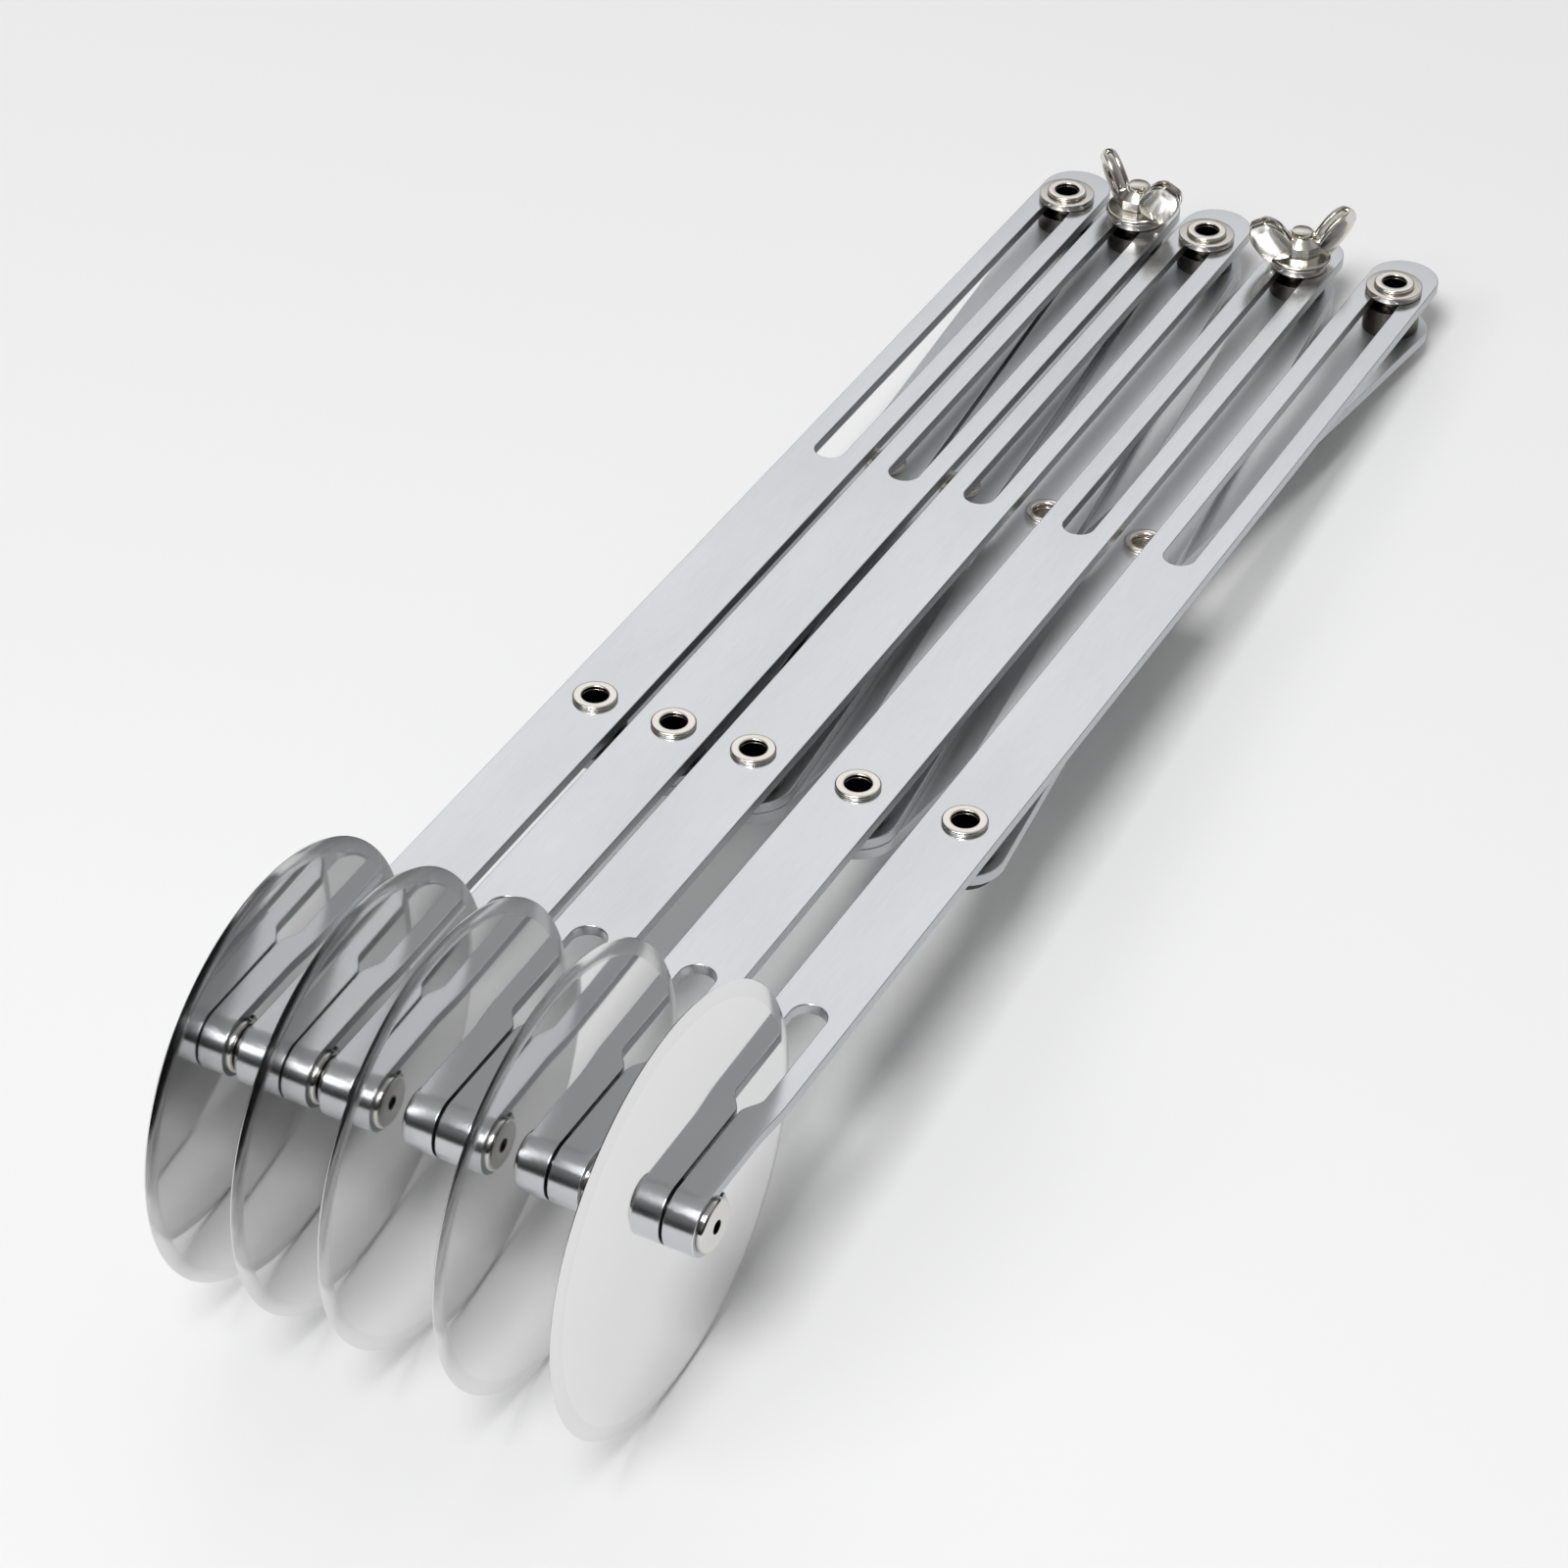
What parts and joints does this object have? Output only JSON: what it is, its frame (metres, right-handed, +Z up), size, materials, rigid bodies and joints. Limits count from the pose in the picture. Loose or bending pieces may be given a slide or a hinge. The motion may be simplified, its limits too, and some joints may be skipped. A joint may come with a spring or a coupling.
{
  "type": "expandable dough cutter",
  "caption": "Hand-held pastry cutter: disc wheels on flat forked bars, kept parallel by a sliding lazy-tongs linkage so their spacing can be set and clamped with wing nuts.",
  "frame": {"origin": "on the table surface, under the middle of the bounding box, with the tool standing on its wheels and bolt heads", "axes": "+X across the bars to the right, +Y along them from the wheels to the rear pivots, +Z up"},
  "size_m": [0.0662, 0.2598, 0.057],
  "materials": {
    "satin_bar": "satin stainless strip",
    "satin_link": "satin stainless strip",
    "polished_wheel": "mirror-polished stainless disc",
    "rivet_steel": "polished steel",
    "eyelet_nickel": "bright nickel plate",
    "clamp_nickel": "bright nickel plate",
    "washer_steel": "plain steel"
  },
  "bodies": {
    "bar_1": {"wheel_bar_1": "satin_bar", "axle_rivet_1": "rivet_steel", "front_eyelet_1": "eyelet_nickel", "front_spacers_1": "washer_steel"},
    "wheel_1": {"cutting_wheel_1": "polished_wheel"},
    "bar_2": {"wheel_bar_2": "satin_bar", "axle_rivet_2": "rivet_steel", "front_eyelet_2": "eyelet_nickel", "front_spacers_2": "washer_steel"},
    "wheel_2": {"cutting_wheel_2": "polished_wheel"},
    "bar_3": {"wheel_bar_3": "satin_bar", "axle_rivet_3": "rivet_steel", "front_eyelet_3": "eyelet_nickel", "front_spacers_3": "washer_steel"},
    "wheel_3": {"cutting_wheel_3": "polished_wheel"},
    "bar_4": {"wheel_bar_4": "satin_bar", "axle_rivet_4": "rivet_steel", "front_eyelet_4": "eyelet_nickel", "front_spacers_4": "washer_steel"},
    "wheel_4": {"cutting_wheel_4": "polished_wheel"},
    "bar_5": {"wheel_bar_5": "satin_bar", "axle_rivet_5": "rivet_steel", "front_eyelet_5": "eyelet_nickel", "front_spacers_5": "washer_steel"},
    "wheel_5": {"cutting_wheel_5": "polished_wheel"},
    "upper_1": {"upper_link_1": "satin_link", "cross_eyelet_1": "eyelet_nickel", "rear_eyelet_1": "eyelet_nickel", "rear_spacers_1": "washer_steel", "rear_washers_1": "washer_steel"},
    "lower_1": {"lower_link_1": "satin_link"},
    "upper_2": {"upper_link_2": "satin_link", "cross_eyelet_2": "eyelet_nickel", "clamp_bolt_2": "clamp_nickel", "rear_spacers_2": "washer_steel", "rear_washers_2": "washer_steel", "clamp_washer_2": "washer_steel"},
    "lower_2": {"lower_link_2": "satin_link"},
    "upper_3": {"upper_link_3": "satin_link", "cross_eyelet_3": "eyelet_nickel", "rear_eyelet_3": "eyelet_nickel", "rear_spacers_3": "washer_steel", "rear_washers_3": "washer_steel"},
    "lower_3": {"lower_link_3": "satin_link"},
    "upper_4": {"upper_link_4": "satin_link", "cross_eyelet_4": "eyelet_nickel", "clamp_bolt_4": "clamp_nickel", "rear_spacers_4": "washer_steel", "rear_washers_4": "washer_steel", "clamp_washer_4": "washer_steel"},
    "lower_4": {"lower_link_4": "satin_link", "rear_eyelet_5": "eyelet_nickel", "rear_spacers_5": "washer_steel", "rear_washers_5": "washer_steel"},
    "nut_2": {"wing_nut_2": "clamp_nickel"},
    "nut_4": {"wing_nut_4": "clamp_nickel"}
  },
  "joints": [
    {"name": "spread", "type": "hinge", "parent": "bar_3", "child": "lower_3", "pos_m": [-0.0035, -0.02538, 0.01935], "axis": [0, -0.0961, -0.9954], "range_deg": [0, 56.68]},
    {"name": "right_cross_3", "type": "hinge", "parent": "lower_3", "child": "upper_3", "pos_m": [0.0042, 0.04738, 0.01233], "axis": [0, 0.0961, 0.9954], "range_deg": [0, 113.38]},
    {"name": "bar_4_pivot", "type": "hinge", "parent": "upper_3", "child": "bar_4", "pos_m": [0.0119, -0.02538, 0.01935], "axis": [0, -0.0961, -0.9954], "range_deg": [0, 56.7]},
    {"name": "right_link_4", "type": "hinge", "parent": "bar_4", "child": "lower_4", "pos_m": [0.0119, -0.02538, 0.01935], "axis": [0, -0.0961, -0.9954], "range_deg": [0, 56.7]},
    {"name": "right_cross_4", "type": "hinge", "parent": "lower_4", "child": "upper_4", "pos_m": [0.0196, 0.04738, 0.01233], "axis": [0, 0.0961, 0.9954], "range_deg": [0, 113.38]},
    {"name": "bar_5_pivot", "type": "hinge", "parent": "upper_4", "child": "bar_5", "pos_m": [0.0273, -0.02538, 0.01935], "axis": [0, -0.0961, -0.9954], "range_deg": [0, 56.7]},
    {"name": "left_link_2", "type": "hinge", "parent": "bar_3", "child": "upper_2", "pos_m": [-0.0035, -0.02538, 0.01935], "axis": [0, 0.0961, 0.9954], "range_deg": [0, 58.07]},
    {"name": "left_cross_2", "type": "hinge", "parent": "upper_2", "child": "lower_2", "pos_m": [-0.00945, 0.04754, 0.01231], "axis": [0, -0.0961, -0.9954], "range_deg": [0, 116.12]},
    {"name": "bar_2_pivot", "type": "hinge", "parent": "lower_2", "child": "bar_2", "pos_m": [-0.0154, -0.02538, 0.01935], "axis": [0, 0.0961, 0.9954], "range_deg": [0, 58.07]},
    {"name": "left_link_1", "type": "hinge", "parent": "bar_2", "child": "upper_1", "pos_m": [-0.0154, -0.02538, 0.01935], "axis": [0, 0.0961, 0.9954], "range_deg": [0, 58.07]},
    {"name": "left_cross_1", "type": "hinge", "parent": "upper_1", "child": "lower_1", "pos_m": [-0.02135, 0.04754, 0.01231], "axis": [0, -0.0961, -0.9954], "range_deg": [0, 116.12]},
    {"name": "bar_1_pivot", "type": "hinge", "parent": "lower_1", "child": "bar_1", "pos_m": [-0.0273, -0.02538, 0.01935], "axis": [0, 0.0961, 0.9954], "range_deg": [0, 58.07]},
    {"name": "wheel_1_spin", "type": "hinge", "parent": "bar_1", "child": "wheel_1", "pos_m": [-0.0273, -0.10145, 0.0285], "axis": [1, 0, 0], "continuous": true},
    {"name": "wheel_2_spin", "type": "hinge", "parent": "bar_2", "child": "wheel_2", "pos_m": [-0.0154, -0.10145, 0.0285], "axis": [1, 0, 0], "continuous": true},
    {"name": "wheel_3_spin", "type": "hinge", "parent": "bar_3", "child": "wheel_3", "pos_m": [-0.0035, -0.10145, 0.0285], "axis": [1, 0, 0], "continuous": true},
    {"name": "wheel_4_spin", "type": "hinge", "parent": "bar_4", "child": "wheel_4", "pos_m": [0.0119, -0.10145, 0.0285], "axis": [1, 0, 0], "continuous": true},
    {"name": "wheel_5_spin", "type": "hinge", "parent": "bar_5", "child": "wheel_5", "pos_m": [0.0273, -0.10145, 0.0285], "axis": [1, 0, 0], "continuous": true},
    {"name": "nut_2_turn", "type": "hinge", "parent": "upper_2", "child": "nut_2", "pos_m": [-0.0154, 0.12115, 0.01234], "axis": [0, 0.0961, 0.9954], "range_deg": [0, 720]},
    {"name": "nut_4_turn", "type": "hinge", "parent": "upper_4", "child": "nut_4", "pos_m": [0.0119, 0.12082, 0.01237], "axis": [0, 0.0961, 0.9954], "range_deg": [0, 720]}
  ],
  "couplings": [
    {"joint": "right_cross_3", "follows": "spread", "ratio": 2},
    {"joint": "bar_4_pivot", "follows": "spread", "ratio": 1},
    {"joint": "right_link_4", "follows": "spread", "ratio": 1},
    {"joint": "right_cross_4", "follows": "spread", "ratio": 2},
    {"joint": "bar_5_pivot", "follows": "spread", "ratio": 1},
    {"joint": "left_link_2", "follows": "spread", "ratio": 1.0242},
    {"joint": "left_cross_2", "follows": "spread", "ratio": 2.0483},
    {"joint": "bar_2_pivot", "follows": "spread", "ratio": 1.0242},
    {"joint": "left_link_1", "follows": "spread", "ratio": 1.0242},
    {"joint": "left_cross_1", "follows": "spread", "ratio": 2.0483},
    {"joint": "bar_1_pivot", "follows": "spread", "ratio": 1.0242}
  ]
}
